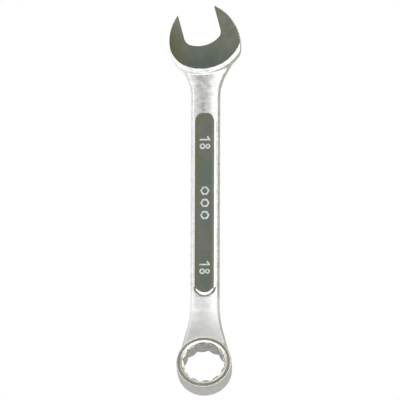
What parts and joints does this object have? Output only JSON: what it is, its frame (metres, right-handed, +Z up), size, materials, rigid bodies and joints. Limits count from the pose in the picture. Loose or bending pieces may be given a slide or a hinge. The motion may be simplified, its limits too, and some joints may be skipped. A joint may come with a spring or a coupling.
{
  "type": "combination wrench",
  "caption": "Flat-lying combination wrench with an open jaw set at an angle, a straight raised-panel shank and a tilted twelve-point ring.",
  "frame": {"origin": "under the middle of the bounding box, on the surface the wrench lies on", "axes": "+Y along the shank towards the open end; +Z up, out of the side on which the ring tilts up; +X to the right when looking down with the open end at the top"},
  "size_m": [0.0347, 0.1914, 0.017],
  "materials": {
    "polished_head": "flat faces polished to a dark mirror, rounded sides satin",
    "satin_shank": "satin chrome over tumbled forging, nearly white under a soft light",
    "satin_ring": "satin sides, polished annulus and bright lead-in chamfer",
    "polished_panel": "polished flat panel with a rough stamped size number"
  },
  "bodies": {
    "root": {"open_end": "polished_head", "shank": "satin_shank", "box_end": "satin_ring", "front_panel": "polished_panel", "back_panel": "polished_panel"}
  },
  "joints": []
}
